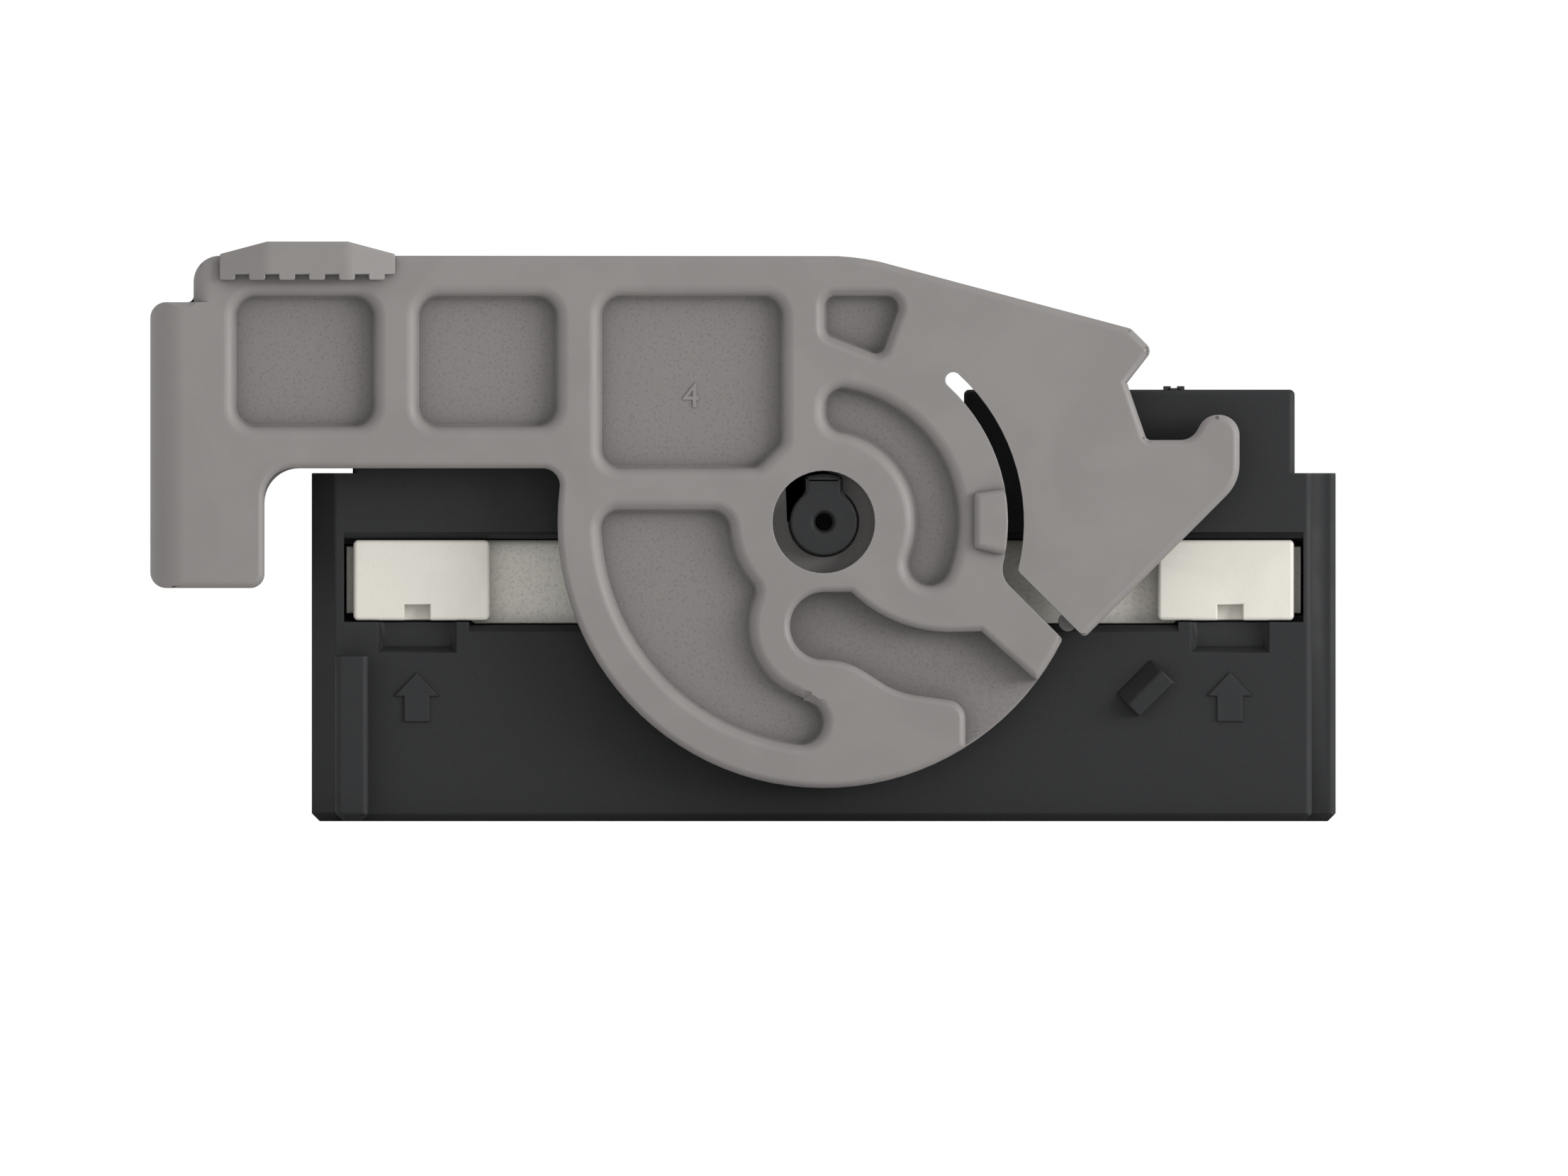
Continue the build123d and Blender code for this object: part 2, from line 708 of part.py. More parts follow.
def end_corner(left, r, low, high):
    """What rounding takes off the front upright edge at a left end."""
    z = (pivot_height + low, pivot_height + high)
    corner = block((left - past, left + r), (-arm_outer - past, r - arm_outer), z)
    round_part = Pos(left + r, r - arm_outer, sum(z) / 2) * Cylinder(r, high - low + past)
    return corner - round_part


def lever():
    shape = both_sides(arm()) + handle() + grip()
    shape -= both_sides(end_corner(handle_left, handle_end_r, handle_bottom - past, handle_top))
    return shape - both_sides(end_corner(arm_left, arm_end_r, handle_top, disk_r + past))


os.makedirs("parts", exist_ok=True)
nodes = {"housing": housing(), "secondary_lock": secondary_lock(), "lever": lever()}
for name, shape in nodes.items():
    export_step(shape, f"parts/{name}.step")
    print(name, "solids", len(shape.solids()), "volume", round(shape.volume, 1))
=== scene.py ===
from math import degrees, radians, sqrt

import bmesh
import bpy
from mathutils import Matrix, Vector


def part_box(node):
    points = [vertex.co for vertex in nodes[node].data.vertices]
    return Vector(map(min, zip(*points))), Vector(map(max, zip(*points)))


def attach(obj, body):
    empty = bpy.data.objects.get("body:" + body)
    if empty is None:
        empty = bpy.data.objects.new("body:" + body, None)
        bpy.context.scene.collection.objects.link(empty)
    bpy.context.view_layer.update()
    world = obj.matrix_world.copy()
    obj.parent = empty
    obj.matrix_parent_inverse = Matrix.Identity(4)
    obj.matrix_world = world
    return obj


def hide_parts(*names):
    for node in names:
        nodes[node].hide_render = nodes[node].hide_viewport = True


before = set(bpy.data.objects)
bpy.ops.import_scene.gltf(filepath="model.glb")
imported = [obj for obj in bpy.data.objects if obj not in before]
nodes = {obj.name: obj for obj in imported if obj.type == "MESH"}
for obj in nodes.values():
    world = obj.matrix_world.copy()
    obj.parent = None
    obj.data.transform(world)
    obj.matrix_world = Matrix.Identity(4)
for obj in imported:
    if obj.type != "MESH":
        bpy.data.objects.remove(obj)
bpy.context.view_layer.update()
MM = 0.001

# The photograph is a straight side view of the front, along +Y, with no perspective
PIXELS_WIDE, PIXELS_HIGH = 2212, 1659
PIXEL = 0.045 * MM
PIVOT_PIXEL_X, FOOT_PIXEL_Y = 1162, 1158.5
VIEW_X = (PIXELS_WIDE / 2 - PIVOT_PIXEL_X) * PIXEL
VIEW_Z = (FOOT_PIXEL_Y - PIXELS_HIGH / 2) * PIXEL
CAMERA_DISTANCE = 0.4

# A white room, dimmer for everything but the camera, and one broad soft lamp from the right
ROOM_LIGHT = 0.72
KEY_PLACE = (1.0, -0.58, 0.05)
KEY_TARGET = (0, 0, 0.015)
KEY_SIZE = 0.85
KEY_POWER = 14.5
FLOOR_HALF = 3.0
FLOOR_COLOUR = (0.85, 0.85, 0.85)
FLOOR_ROUGHNESS = 0.9

# Depths of the mouldings' faces from the middle of the housing
GRIP_REACH = 1.5 * MM
POCKET_DEPTH = 1.4 * MM
ARM_THICKNESS = 3 * MM
ARM_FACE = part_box("lever")[1].y - GRIP_REACH
POCKET_FLOOR = ARM_FACE - POCKET_DEPTH
DEEPEST_FLOOR = POCKET_FLOOR - 0.9 * MM
YOKE_INSIDE = ARM_FACE - ARM_THICKNESS
YOKE_CORNER = 0.6 * MM
WALL_FACE = -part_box("secondary_lock")[0].y
LOCK_RECESS = 9.4 * MM
LATCH_DEPTH = 8.9 * MM
NEAR, ROUGHLY = 0.02 * MM, 0.1 * MM

# Places in the plane of the view, and how far round them a rounding of their own holds
TOWER_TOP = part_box("housing")[1].z
PIVOT = Vector((0, 0, 19)) * MM
POST_HOLE_REACH, POST_REACH = 1.3 * MM, 3.6 * MM
BUMP, BUMP_REACH = Vector((20.4, 0, 8.47)) * MM, 3 * MM
SMALL_POCKET, SMALL_POCKET_REACH = Vector((2.4, 0, 31.6)) * MM, 3.4 * MM
KIDNEY_CORNER, KIDNEY_CORNER_REACH = Vector((-1.0, 0, 7.95)) * MM, 0.75 * MM
DISK_POCKETS_RIGHT, DISK_POCKETS_TOP = -0.5 * MM, 22.6 * MM
DISK_POCKETS_NEAR, DISK_POCKETS_FAR = 4 * MM, 15 * MM
HANDLE_STEP = Vector((-38.7, 0, 32.95)) * MM
WALL_END = 30.9 * MM
GRIP_FOOT = 34.36 * MM
NOTCH_X, NOTCH_TOP, NOTCH_REACH = 25.85 * MM, 13.85 * MM, 1.1 * MM

# A chamfer whose two edges are bevelled by a share of its face turns into a fillet
FILLET_SHARE = 0.43
FINE_SHARE = 0.36
DISK_POCKET_SHARE = 0.34
SMALL_POCKET_SHARE = 0.28
ARM_CHAMFER = 0.5 * MM
FINE_CHAMFER = 0.3 * MM
TOWER_CHAMFER = 0.2 * MM
SHORTEST_LEG, FINE_LEG, LONGEST_LEG = 0.2 * MM, 0.4 * MM, 0.6 * MM

# Roundings of the plain edges
POCKET_FOOT_ROUND = 0.1 * MM
GRIP_CORNER_ROUND, GRIP_CORNER_LENGTH = 0.34 * MM, 0.8 * MM
GRIP_TOOTH_ROUND = 0.17 * MM
GRIP_ROUND = 0.1 * MM
ARM_ROUND, ARM_RIM_ROUND = 0.12 * MM, 0.05 * MM
BUMP_ROUND = 0.14 * MM
POST_HOLE_ROUND = 0.08 * MM
POST_ROUND = 0.2 * MM
RIB_ROUND = 0.12 * MM
WALL_END_ROUND = 0.16 * MM
HOUSING_ROUND = 0.05 * MM
PAD_CORNER_ROUND, PAD_ROUND = 0.36 * MM, 0.26 * MM
NOTCH_ROUND = 0.12 * MM
LATCH_ROUND, GRID_ROUND = 0.09 * MM, 0.03 * MM
WIDEST = PAD_CORNER_ROUND
SEGMENTS = 4

# Merging of the CAD meshes, and the angles in degrees that tell their edges apart
MERGE = 0.002 * MM
FLAT_TURN = 2.5
CURVE_TURN = 12
EDGE_TURN = 25
CHAMFER_TURN = 30
BLUNT_TURN = 50
SHARP_TURN = 60
STRAIGHT_ON = 0.85
ALONG_AXIS = 0.9
SLOPE_LOW, SLOPE_HIGH = 0.66, 0.75

# Colours and tones of the three plastics, each tone a share of its colour
BLACK = (0.0235, 0.0243, 0.0258)
WHITE = (0.80, 0.775, 0.70)
GREY = (0.262, 0.2465, 0.2395)
CLOUD_TONES = (0.965, 1.03)
SPECKLE_TONES = (0.88, 1.12)
# painted shade: the tone laid into inner corners and narrow gaps
CORNER_SHADE_TONE = 0.4
FLECK_SHARE = 0.35
# how far outer edges are lightened: wear with a painted sheen
EDGE_SHEEN_SHARE = 0.6
RUBBED_ROUGHNESS = 0.72
FLOOR_ROUGHER = 0.12
CLOUD_ROUGHER = 0.04
FLOOR_DEEPER = 2.4
RUBBED_CALMER = 0.3
PLASTIC_IOR = 1.48

# Raised signs: places and the arrow's half outline in pixels of the photograph, and sizes
LEFT_ARROW, RIGHT_ARROW = (588, 948.6), (1735, 948.3)
ARROW_WING, ARROW_SHAFT = 32, 18
ARROW_HEAD, ARROW_LENGTH = 33.4, 69.4
ARROW_HEIGHT = 0.18 * MM
ARROW_EDGE = 0.05 * MM
SUNK = 0.05 * MM
TOWER_SIGN = (1641, 1671)
TOWER_SIGN_LENGTH = 2.0 * MM
TOWER_SIGN_Y = -9.75 * MM
BAR_SHARE = 0.36
BAR_HEIGHT, WEB_HEIGHT = 0.22 * MM, 0.1 * MM
BAR_EDGE = 0.04 * MM
NUMBER_PLACE = (975, 560)
NUMBER_SIZE = 2.2 * MM
NUMBER_HEIGHT = 0.06 * MM
NUMBER_EDGE = 0.015 * MM
NUMBER_MERGE = 0.0002 * MM


# View and light

def side_camera():
    """An orthographic camera square on to the front wall."""
    data = bpy.data.cameras.new("side_view")
    data.type = "ORTHO"
    data.ortho_scale = PIXELS_WIDE * PIXEL
    data.clip_start, data.clip_end = 0.01, 10
    camera = bpy.data.objects.new("side_view", data)
    camera.location = (VIEW_X, -CAMERA_DISTANCE, VIEW_Z)
    camera.rotation_euler = (radians(90), 0, 0)
    bpy.context.scene.collection.objects.link(camera)
    bpy.context.scene.camera = camera


def soft_light(name, place, target, size, power):
    """A round area lamp that looks at a target."""
    data = bpy.data.lights.new(name, "AREA")
    data.shape, data.size, data.energy = "DISK", size, power
    lamp = bpy.data.objects.new(name, data)
    lamp.location = place
    lamp.rotation_euler = (Vector(target) - Vector(place)).to_track_quat("-Z", "Y").to_euler()
    bpy.context.scene.collection.objects.link(lamp)


def studio():
    """The white room and its lamp."""
    bpy.context.scene.view_settings.view_transform = "Standard"
    world = bpy.data.worlds.new("white_room")
    bpy.context.scene.world = world
    world.use_nodes = True
    tree = world.node_tree
    background = tree.nodes["Background"]
    paths = tree.nodes.new("ShaderNodeLightPath")
    strength = tree.nodes.new("ShaderNodeMapRange")
    strength.inputs["To Min"].default_value = ROOM_LIGHT
    strength.inputs["To Max"].default_value = 1.0
    tree.links.new(paths.outputs["Is Camera Ray"], strength.inputs["Value"])
    background.inputs["Color"].default_value = (1, 1, 1, 1)
    tree.links.new(strength.outputs["Result"], background.inputs["Strength"])
    soft_light("key", KEY_PLACE, KEY_TARGET, KEY_SIZE, KEY_POWER)


def pale_floor():
    shape = bmesh.new()
    bmesh.ops.create_grid(shape, x_segments=1, y_segments=1, size=FLOOR_HALF)
    floor = placed(shape, "floor")
    floor.data.materials.append(plain("pale_floor", FLOOR_COLOUR, FLOOR_ROUGHNESS))


# Meshes

def placed(shape, name):
    """A new object at the origin that holds a bmesh."""
    mesh = bpy.data.meshes.new(name)
    shape.to_mesh(mesh)
    shape.free()
    piece = bpy.data.objects.new(name, mesh)
    bpy.context.scene.collection.objects.link(piece)
    return piece


def finished(shape, name, body, material):
    """A placed piece with its material, riding on its body."""
    piece = placed(shape, name)
    piece.data.materials.append(material)
    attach(piece, body)
    return piece


def merged_copy(node):
    """A copy of a CAD node's mesh as one skin, without the lines inside its flat faces."""
    shape = bmesh.new()
    shape.from_mesh(nodes[node].data)
    bmesh.ops.remove_doubles(shape, verts=shape.verts, dist=MERGE)
    bmesh.ops.dissolve_limit(shape, angle_limit=radians(FLAT_TURN), verts=shape.verts, edges=shape.edges)
    return shape


# Edges and how they are told apart

def turn(edge):
    """The angle in degrees between an edge's two faces."""
    return degrees(edge.calc_face_angle(0))


def middle(edge):
    return (edge.verts[0].co + edge.verts[1].co) / 2


def runs_along(edge, axis):
    """Whether an edge points along an axis."""
    return abs(edge.verts[0].co[axis] - edge.verts[1].co[axis]) > ALONG_AXIS * edge.calc_length()


def apart(place, spot):
    """How far two places are apart in the plane of the view."""
    return Vector((place.x - spot.x, place.z - spot.z)).length


def is_slope(face, axis):
    """Whether a face lies at about 45 degrees to an axis."""
    return SLOPE_LOW < abs(face.normal[axis]) < SLOPE_HIGH


def chamfer_leg(edge, axis):
    """How far the slope beside an edge runs along an axis, or 0 if there is none."""
    slopes = [face for face in edge.link_faces if is_slope(face, axis)]
    if not slopes:
        return 0
    around = [face for vert in slopes[0].verts for face in vert.link_faces if is_slope(face, axis)]
    places = [abs(vert.co[axis]) for face in around for vert in face.verts]
    return max(places) - min(places)


def fillet_width(leg, share=FILLET_SHARE):
    """The bevel, on both edges of a chamfer, that turns it into a fillet."""
    return share * sqrt(2) * leg


def arm_share(place):
    """The share for a chamfer of the arm, less where its corners are tight."""
    if apart(place, SMALL_POCKET) < SMALL_POCKET_REACH:
        return SMALL_POCKET_SHARE
    on_disk = DISK_POCKETS_NEAR < apart(place, PIVOT) < DISK_POCKETS_FAR
    if on_disk and place.x < DISK_POCKETS_RIGHT and place.z < DISK_POCKETS_TOP:
        return DISK_POCKET_SHARE
    return FILLET_SHARE


def lever_width(edge):
    """How far an edge of the lever is rounded. None keeps it sharp and ends its run."""
    place = middle(edge)
    depth = abs(place.y)
    angle = turn(edge)
    if apart(place, KIDNEY_CORNER) < KIDNEY_CORNER_REACH:
        return None
    if not edge.is_convex:
        at_pocket_foot = angle > SHARP_TURN and abs(depth - POCKET_FLOOR) < NEAR
        return POCKET_FOOT_ROUND if at_pocket_foot else 0
    if YOKE_INSIDE - ROUGHLY < depth < YOKE_INSIDE + YOKE_CORNER:
        return 0
    if abs(place.z - HANDLE_STEP.z) < NEAR and place.x < HANDLE_STEP.x:
        return 0
    leg = chamfer_leg(edge, 1)
    if SHORTEST_LEG < leg < LONGEST_LEG and CHAMFER_TURN < angle < SHARP_TURN:
        if leg < FINE_LEG:
            return fillet_width(FINE_CHAMFER, FINE_SHARE)
        return fillet_width(ARM_CHAMFER, arm_share(place))
    if depth > ARM_FACE + ROUGHLY:
        return grip_width(edge)
    if angle < BLUNT_TURN:
        return 0
    return ARM_RIM_ROUND if abs(depth - ARM_FACE) < NEAR else ARM_ROUND


def grip_width(edge):
    """How far an edge of the toothed grip is rounded, which stands out past the arm's face."""
    on_front = abs(middle(edge).y) > ARM_FACE + GRIP_REACH - ROUGHLY
    if on_front and runs_along(edge, 2) and edge.calc_length() > GRIP_CORNER_LENGTH:
        return GRIP_CORNER_ROUND
    if runs_along(edge, 1) and turn(edge) > SHARP_TURN and middle(edge).z < GRIP_FOOT + ROUGHLY:
        return GRIP_TOOTH_ROUND
    return GRIP_ROUND if turn(edge) > CURVE_TURN else 0


def housing_width(edge):
    """How far an edge of the housing is rounded, most of all on what stands out of its walls."""
    place = middle(edge)
    angle = turn(edge)
    if not edge.is_convex or angle < EDGE_TURN:
        return 0
    if place.z > TOWER_TOP - TOWER_CHAMFER - ROUGHLY and angle < SHARP_TURN:
        return fillet_width(TOWER_CHAMFER)
    if abs(place.y) > WALL_FACE + NEAR:
        if apart(place, BUMP) < BUMP_REACH:
            return BUMP_ROUND
        if apart(place, PIVOT) < POST_HOLE_REACH:
            return POST_HOLE_ROUND
        if apart(place, PIVOT) < POST_REACH:
            return POST_ROUND
        return RIB_ROUND
    if abs(place.y) > WALL_FACE - NEAR and abs(place.x) > WALL_END - ROUGHLY:
        return WALL_END_ROUND
    return HOUSING_ROUND


def lock_width(edge):
    """How far an edge of the lock is rounded, most of all round the front of its two pads."""
    place = middle(edge)
    if not edge.is_convex or turn(edge) < EDGE_TURN:
        return 0
    near_notch = abs(abs(place.x) - NOTCH_X) < NOTCH_REACH and place.z < NOTCH_TOP + ROUGHLY
    front = min(vert.co.y for vert in edge.verts) < NEAR - WALL_FACE
    if front and near_notch:
        return NOTCH_ROUND
    if front:
        return PAD_CORNER_ROUND if runs_along(edge, 1) else PAD_ROUND
    return LATCH_ROUND if place.y < -LATCH_DEPTH else GRID_ROUND


def smooth_run(start, sharp, taken):
    """The sharp edges that go on smoothly from one edge and bend the same way, marked as taken."""
    run, todo = [], [start]
    taken.add(start)
    while todo:
        edge = todo.pop()
        run.append(edge)
        for vert in edge.verts:
            ahead = (vert.co - edge.other_vert(vert).co).normalized()
            for other in vert.link_edges:
                onward = (other.other_vert(vert).co - vert.co).normalized()
                smooth_on = ahead.dot(onward) > STRAIGHT_ON and other.is_convex == edge.is_convex
                if other in sharp and other not in taken and smooth_on:
                    taken.add(other)
                    todo.append(other)
    return run


def widths_along_runs(shape, width_of):
    """One width along each smooth run of edges: the one that most of its length asks for."""
    widths = {edge: width_of(edge) for edge in shape.edges}
    sharp = {edge for edge in shape.edges if turn(edge) > CURVE_TURN and widths[edge] is not None}
    taken = set()
    for start in shape.edges:
        if start not in sharp or start in taken:
            continue
        run = smooth_run(start, sharp, taken)
        lengths = {}
        for edge in run:
            lengths[widths[edge]] = lengths.get(widths[edge], 0) + edge.calc_length()
        most = max(lengths, key=lengths.get)
        for edge in run:
            widths[edge] = most
    return widths


def moulding(node, body, width_of, material):
    """The node as it leaves the mould: one skin with every edge rounded by its own amount."""
    shape = merged_copy(node)
    weights = shape.edges.layers.float.new("bevel_weight_edge")
    widths = widths_along_runs(shape, width_of)
    for edge in shape.edges:
        width = widths[edge] or 0
        edge[weights] = width / WIDEST
        edge.smooth = width > 0 or turn(edge) < CHAMFER_TURN
    for face in shape.faces:
        face.smooth = True
    piece = finished(shape, node + "_moulding", body, material)
    rounding = piece.modifiers.new("rounded_edges", "BEVEL")
    rounding.limit_method = "WEIGHT"
    rounding.width = WIDEST
    rounding.segments = SEGMENTS
    rounding.use_clamp_overlap = False
    rounding.loop_slide = False
    rounding.miter_outer = "MITER_ARC"
    shading = piece.modifiers.new("flat_faces", "WEIGHTED_NORMAL")
    shading.keep_sharp = True
    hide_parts(node)


# Finishes

def feed(tree, socket, value):
    """A shader input either linked or given a value."""
    if isinstance(value, bpy.types.NodeSocket):
        tree.links.new(value, socket)
    else:
        socket.default_value = value


def add(tree, kind, inputs=(), **settings):
    """A shader node with its settings and inputs."""
    node = tree.nodes.new("ShaderNode" + kind)
    for name, value in settings.items():
        setattr(node, name, value)
    for name, value in dict(inputs).items():
        feed(tree, node.inputs[name], value)
    return node


def effect(name, inputs, outputs):
    """An empty node group, with its input and output nodes."""
    tree = bpy.data.node_groups.new(name, "ShaderNodeTree")
    for label, value in inputs.items():
        tree.interface.new_socket(label, in_out="INPUT", socket_type="NodeSocketFloat").default_value = value
    for label in outputs:
        tree.interface.new_socket(label, in_out="OUTPUT", socket_type="NodeSocketFloat")
    return tree, tree.nodes.new("NodeGroupInput"), tree.nodes.new("NodeGroupOutput")


def placed_effect(tree, name, inputs=()):
    """One of the effects in a material, with the material's own values."""
    return add(tree, "Group", inputs, node_tree=bpy.data.node_groups[name])


def combine(tree, operation, first, second=0.0):
    """One value worked out of one or two others."""
    return add(tree, "Math", {0: first, 1: second}, operation=operation).outputs[0]


def times(tree, first, second):
    return combine(tree, "MULTIPLY", first, second)


def ramp(tree, value, low, high, start=0.0, end=1.0):
    """A value spread smoothly from low..high to start..end."""
    return add(tree, "MapRange", {
        "Value": value, "From Min": low, "From Max": high, "To Min": start, "To Max": end,
    }, interpolation_type="SMOOTHSTEP").outputs["Result"]


def mixed(tree, amount, first, second):
    """One colour laid over another by a mask."""
    blend = add(tree, "Mix", data_type="RGBA")
    for number, value in ((0, amount), (6, first), (7, second)):
        feed(tree, blend.inputs[number], value)
    return blend.outputs[2]


def shade(colour, factor):
    """A colour made darker or lighter, as a shader takes it."""
    return (*(channel * factor for channel in colour), 1)


def mould_grain():
    """The fine spark-eroded grain of the mould, slow clouds of colour, and flecks of filler."""
    tree, given, result = effect("mould_grain", {"Grain": 6000, "Clouds": 160}, ("Height", "Cloud", "Fleck"))
    place = add(tree, "TexCoord").outputs["Object"]
    size = given.outputs["Grain"]
    grain = add(tree, "TexNoise", {"Vector": place, "Scale": size, "Detail": 3, "Roughness": 0.62})
    pits = add(tree, "TexVoronoi", {"Vector": place, "Scale": times(tree, size, 0.55)})
    cloud = add(tree, "TexNoise", {
        "Vector": place, "Scale": given.outputs["Clouds"], "Detail": 3, "Roughness": 0.55, "Distortion": 0.8,
    })
    flecks = add(tree, "TexVoronoi", {"Vector": place, "Scale": times(tree, size, 0.7)})
    pitted = ramp(tree, pits.outputs["Distance"], 0.0, 0.45, 0.0, 0.35)
    feed(tree, result.inputs["Height"], combine(tree, "ADD", grain.outputs["Fac"], pitted))
    feed(tree, result.inputs["Cloud"], ramp(tree, cloud.outputs["Fac"], 0.35, 0.65))
    feed(tree, result.inputs["Fleck"], ramp(tree, flecks.outputs["Distance"], 0.1, 0.26, 1.0, 0.0))


def wear_and_edge_sheen():
    """Wear with a painted sheen: 1 on outer edges, broken up by a coarse noise, 0 on flat faces."""
    tree, given, result = effect("wear_and_edge_sheen", {"Reach": 0.3 * MM}, ("Edge",))
    place = add(tree, "TexCoord").outputs["Object"]
    reach = {"Distance": given.outputs["Reach"]}
    inside = add(tree, "AmbientOcclusion", reach, inside=True, only_local=True, samples=8)
    patches = add(tree, "TexNoise", {"Vector": place, "Scale": 900, "Detail": 4, "Roughness": 0.6})
    edge = ramp(tree, inside.outputs["AO"], 0.45, 0.95, 1.0, 0.0)
    broken = ramp(tree, patches.outputs["Fac"], 0.3, 0.7, 0.55, 1.0)
    feed(tree, result.inputs["Edge"], times(tree, edge, broken))


def painted_corner_shade():
    """Painted shade: 1 in inner corners and narrow gaps, where shade falls."""
    tree, given, result = effect("painted_corner_shade", {"Reach": 1.5 * MM}, ("Corner",))
    outside = add(tree, "AmbientOcclusion", {"Distance": given.outputs["Reach"]}, samples=8)
    feed(tree, result.inputs["Corner"], ramp(tree, outside.outputs["AO"], 0.35, 1.0, 1.0, 0.0))


def recessed_floor():
    """1 on flat front and back faces whose distance from the middle lies between two depths."""
    tree, given, result = effect("recessed_floor", {"Low": 0.0, "High": 0.0}, ("Floor",))
    coordinates = add(tree, "TexCoord")
    depth, facing = (
        combine(tree, "ABSOLUTE", add(tree, "SeparateXYZ", {0: coordinates.outputs[name]}).outputs["Y"])
        for name in ("Object", "Normal")
    )
    above = combine(tree, "GREATER_THAN", depth, given.outputs["Low"])
    below = combine(tree, "LESS_THAN", depth, given.outputs["High"])
    band = times(tree, above, below)
    feed(tree, result.inputs["Floor"], times(tree, band, ramp(tree, facing, 0.8, 0.98)))


def moulded_plastic(name, colour, roughness, gloss, floors, floor_shade_tone, edge_sheen_tone, fleck_tone,
                    grain_depth, shade_reach, shade_share):
    """A moulded plastic: grain, clouds, flecks, edges lightened by wear and painted sheen, painted shade in
    corners and on rough recessed floors.
    """
    material = bpy.data.materials.new(name)
    material.use_nodes = True
    tree = material.node_tree
    shader = tree.nodes["Principled BSDF"]
    grain = placed_effect(tree, "mould_grain")
    edge = placed_effect(tree, "wear_and_edge_sheen").outputs["Edge"]
    corner = placed_effect(tree, "painted_corner_shade", {"Reach": shade_reach}).outputs["Corner"]
    floor = placed_effect(tree, "recessed_floor", {"Low": floors[0], "High": floors[1]}).outputs["Floor"]

    cloudy = mixed(tree, grain.outputs["Cloud"], *(shade(colour, tone) for tone in CLOUD_TONES))
    flecked = mixed(tree, times(tree, grain.outputs["Fleck"], FLECK_SHARE), cloudy, shade(colour, fleck_tone))
    speckle = ramp(tree, grain.outputs["Height"], 0.45, 1.0)
    # painted shade: recessed floors get a darker tone, with a random speckle
    shaded_speckle = mixed(tree, speckle, *(shade(colour, floor_shade_tone * tone) for tone in SPECKLE_TONES))
    floor_shaded = mixed(tree, floor, flecked, shaded_speckle)
    # painted shade laid into inner corners and narrow gaps
    corner_shaded = mixed(tree, times(tree, corner, shade_share), floor_shaded, shade(colour, CORNER_SHADE_TONE))
    # outer edges lightened: wear with a painted sheen
    sheened_edges = mixed(tree, times(tree, edge, EDGE_SHEEN_SHARE), corner_shaded, shade(colour, edge_sheen_tone))
    feed(tree, shader.inputs["Base Color"], sheened_edges)

    smoother = ramp(tree, edge, 0.0, 1.0, roughness, roughness * RUBBED_ROUGHNESS)
    rougher = ramp(tree, floor, 0.0, 1.0, 0.0, FLOOR_ROUGHER)
    uneven = ramp(tree, grain.outputs["Cloud"], 0.0, 1.0, -CLOUD_ROUGHER, CLOUD_ROUGHER)
    rough = combine(tree, "ADD", combine(tree, "ADD", smoother, rougher), uneven)
    feed(tree, shader.inputs["Roughness"], rough)

    deeper = ramp(tree, floor, 0.0, 1.0, 1.0, FLOOR_DEEPER)
    calmer = ramp(tree, edge, 0.0, 1.0, 1.0, RUBBED_CALMER)
    height = times(tree, times(tree, grain.outputs["Height"], deeper), calmer)
    bump = add(tree, "Bump", {"Height": height, "Strength": 1.0, "Distance": grain_depth})
    feed(tree, shader.inputs["Normal"], bump.outputs["Normal"])

    shader.inputs["IOR"].default_value = PLASTIC_IOR
    shader.inputs["Specular IOR Level"].default_value = gloss
    return material


def plain(name, colour, roughness):
    """A material of one colour, for the floor of the studio."""
    material = bpy.data.materials.new(name)
    material.use_nodes = True
    shader = material.node_tree.nodes["Principled BSDF"]
    shader.inputs["Base Color"].default_value = (*colour, 1)
    shader.inputs["Roughness"].default_value = roughness
    return material


def black_body():
    """The housing's fine-grained black, with pale filler in it."""
    return moulded_plastic(
        "black_body", BLACK, roughness=0.6, gloss=0.32, floors=(0.0, 0.0), floor_shade_tone=1.0, edge_sheen_tone=1.35,
        fleck_tone=1.9, grain_depth=0.004 * MM, shade_reach=2.5 * MM, shade_share=0.35,
    )


def natural_white():
    """The lock's undyed off-white, with a random speckle and a little painted shade on the low stretch
    between its pads.
    """
    return moulded_plastic(
        "natural_white", WHITE, roughness=0.48, gloss=0.5,
        floors=(LOCK_RECESS - ROUGHLY, LOCK_RECESS + ROUGHLY), floor_shade_tone=0.95, edge_sheen_tone=1.05,
        fleck_tone=0.8, grain_depth=0.005 * MM, shade_reach=1.2 * MM, shade_share=0.35,
    )


def grey_acetal():
    """The lever's warm grey, with a random speckle and painted shade darkening the floors of its pockets."""
    return moulded_plastic(
        "grey_acetal", GREY, roughness=0.5, gloss=0.5,
        floors=(DEEPEST_FLOOR, POCKET_FLOOR + ROUGHLY), floor_shade_tone=0.8, edge_sheen_tone=1.1,
        fleck_tone=0.93, grain_depth=0.004 * MM, shade_reach=3.0 * MM, shade_share=0.6,
    )


# Raised signs

def on_photo(pixel_x, pixel_y):
    """A place in the plane of the view from its pixel in the photograph."""
    return Vector(((pixel_x - PIVOT_PIXEL_X) * PIXEL, 0, (FOOT_PIXEL_Y - pixel_y) * PIXEL))


def verts_of(geometry):
    return [part for part in geometry if isinstance(part, bmesh.types.BMVert)]


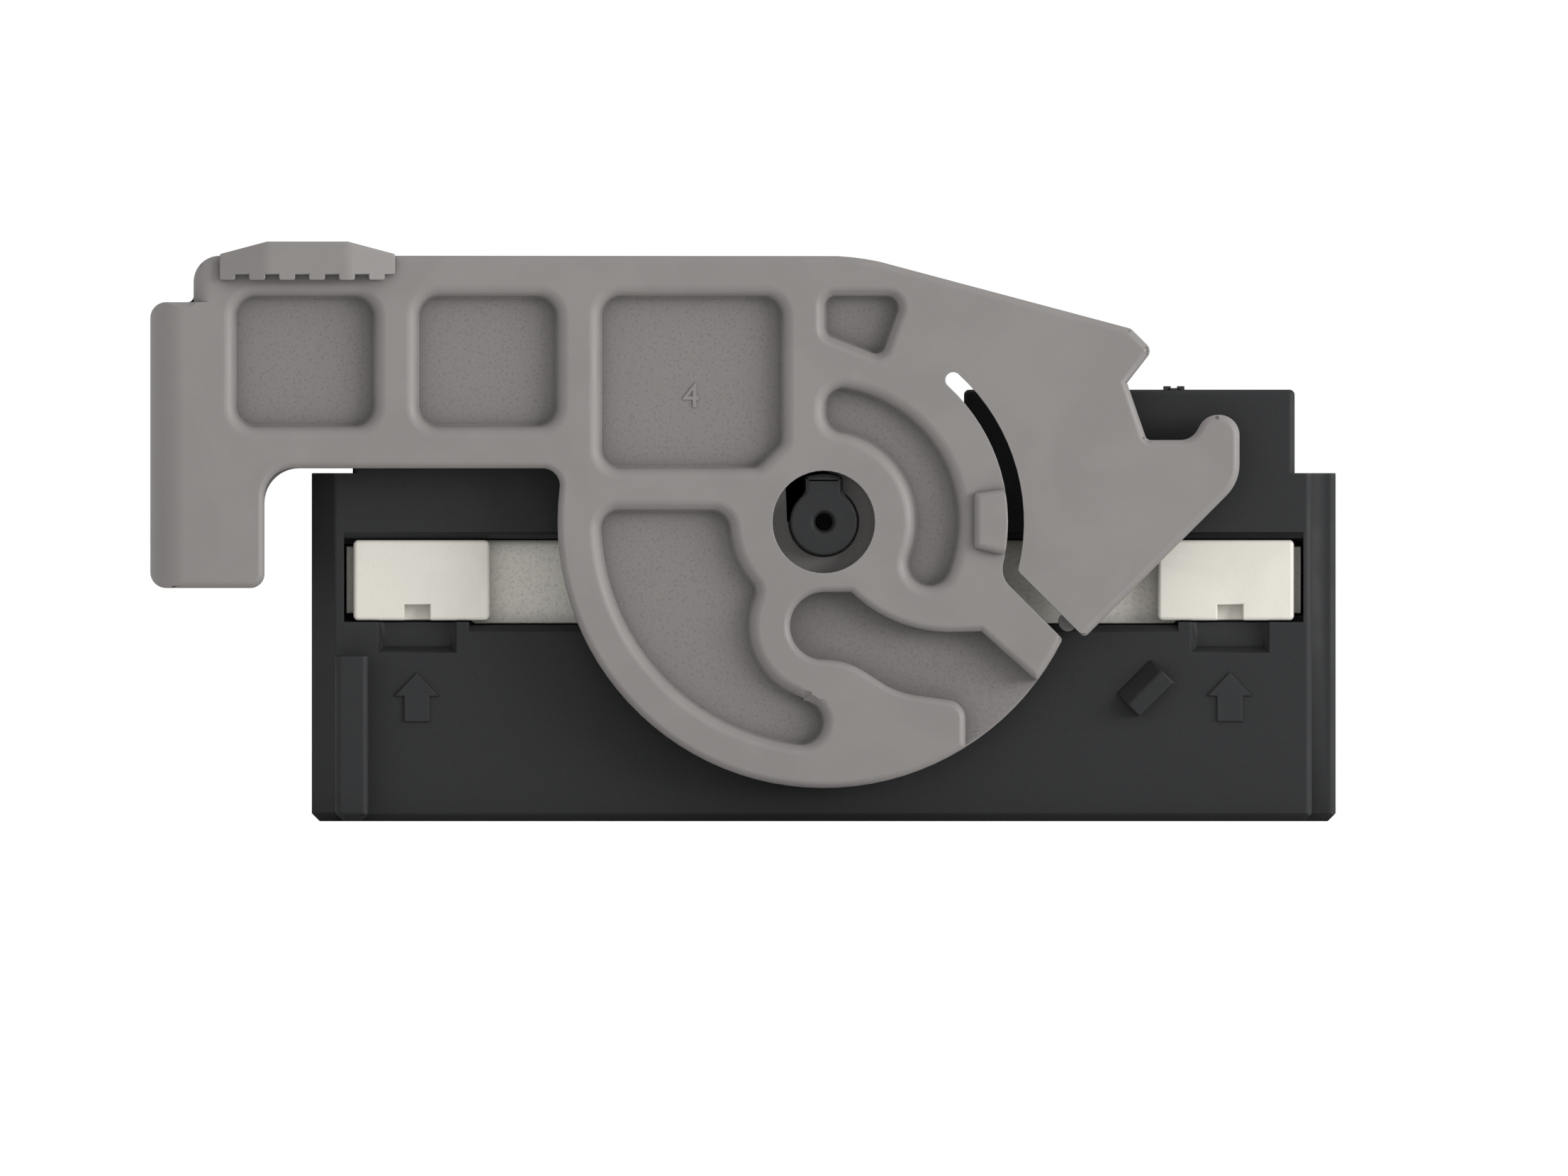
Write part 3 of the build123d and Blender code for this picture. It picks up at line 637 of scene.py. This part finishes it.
def raised(shape, height, rounding):
    """Flat faces that look along -Y pulled out by a height, with their outer edges rounded."""
    pulled = bmesh.ops.extrude_face_region(shape, geom=shape.faces[:])["geom"]
    bmesh.ops.translate(shape, vec=(0, -height, 0), verts=verts_of(pulled))
    front = [part for part in pulled if isinstance(part, bmesh.types.BMFace)]
    rims = [
        edge for face in front for edge in face.edges
        if any(side not in front for side in edge.link_faces)
    ]
    bmesh.ops.recalc_face_normals(shape, faces=shape.faces)
    bmesh.ops.bevel(
        shape, geom=rims, offset=rounding, offset_type="OFFSET", affect="EDGES", segments=3, profile=0.5,
        material=-1,
    )


def on_both_walls(shape):
    """A copy of everything on the other side of the housing."""
    copy = bmesh.ops.duplicate(shape, geom=shape.verts[:] + shape.edges[:] + shape.faces[:])["geom"]
    bmesh.ops.scale(shape, vec=(1, -1, 1), verts=verts_of(copy))
    bmesh.ops.recalc_face_normals(shape, faces=shape.faces)


def up_arrow(name, tip, material):
    """A raised arrow that points towards the wires, on both long walls."""
    shape = bmesh.new()
    half = [(0, 0), (ARROW_WING, ARROW_HEAD), (ARROW_SHAFT, ARROW_HEAD), (ARROW_SHAFT, ARROW_LENGTH)]
    outline = half + [(-x, y) for x, y in reversed(half[1:])]
    shape.faces.new([shape.verts.new(on_photo(tip[0] + x, tip[1] + y)) for x, y in outline])
    bmesh.ops.translate(shape, vec=(0, SUNK - WALL_FACE, 0), verts=shape.verts)
    raised(shape, ARROW_HEIGHT + SUNK, ARROW_EDGE)
    on_both_walls(shape)
    finished(shape, name, "connector_body", material)


def tower_bars(material):
    """Two short raised bars on top of the power tower, with a low web between them."""
    shape = bmesh.new()
    left, right = (on_photo(pixel, 0).x for pixel in TOWER_SIGN)
    bar = (right - left) * BAR_SHARE
    blocks = (
        (left, bar, BAR_HEIGHT),
        (right - bar, bar, BAR_HEIGHT),
        (left + bar / 2, right - left - bar, WEB_HEIGHT),
    )
    for start, width, height in blocks:
        block = bmesh.ops.create_cube(shape, size=1)["verts"]
        bmesh.ops.scale(shape, vec=(width, TOWER_SIGN_LENGTH, height + SUNK), verts=block)
        centre = (start + width / 2, TOWER_SIGN_Y, TOWER_TOP + (height - SUNK) / 2)
        bmesh.ops.translate(shape, vec=centre, verts=block)
    bmesh.ops.bevel(
        shape, geom=shape.edges[:], offset=BAR_EDGE, offset_type="OFFSET", affect="EDGES", segments=2,
        profile=0.5, material=-1,
    )
    finished(shape, "tower_bars", "connector_body", material)


def number_shape():
    """A plain upright number that faces the front, as a mesh."""
    curve = bpy.data.curves.new("cavity_number", "FONT")
    curve.body = "4"
    curve.size = NUMBER_SIZE
    curve.extrude = NUMBER_HEIGHT
    curve.bevel_depth = NUMBER_EDGE
    curve.resolution_u = 6
    curve.align_x, curve.align_y = "CENTER", "CENTER"
    text = bpy.data.objects.new("number_text", curve)
    bpy.context.scene.collection.objects.link(text)
    bpy.context.view_layer.update()
    mesh = bpy.data.meshes.new_from_object(text.evaluated_get(bpy.context.evaluated_depsgraph_get()))
    bpy.data.objects.remove(text)
    shape = bmesh.new()
    shape.from_mesh(mesh)
    bmesh.ops.remove_doubles(shape, verts=shape.verts, dist=NUMBER_MERGE)
    bmesh.ops.rotate(shape, cent=(0, 0, 0), matrix=Matrix.Rotation(radians(90), 3, "X"), verts=shape.verts)
    return shape


def cavity_number(material):
    """A raised number on the floor of the lever's third pocket, on both arms."""
    front = number_shape()
    back = front.copy()
    bmesh.ops.rotate(back, cent=(0, 0, 0), matrix=Matrix.Rotation(radians(180), 3, "Z"), verts=back.verts)
    centre = on_photo(*NUMBER_PLACE)
    for shape, side, depth in ((front, "front", -POCKET_FLOOR), (back, "back", POCKET_FLOOR)):
        bmesh.ops.translate(shape, vec=(centre.x, depth, centre.z), verts=shape.verts)
        finished(shape, "cavity_number_" + side, "cam_lever", material)


side_camera()
studio()
pale_floor()
for make in (mould_grain, wear_and_edge_sheen, painted_corner_shade, recessed_floor):
    make()
black, white, grey = black_body(), natural_white(), grey_acetal()
moulding("housing", "connector_body", housing_width, black)
moulding("secondary_lock", "terminal_lock", lock_width, white)
moulding("lever", "cam_lever", lever_width, grey)
up_arrow("left_arrow", LEFT_ARROW, black)
up_arrow("right_arrow", RIGHT_ARROW, black)
tower_bars(black)
cavity_number(grey)
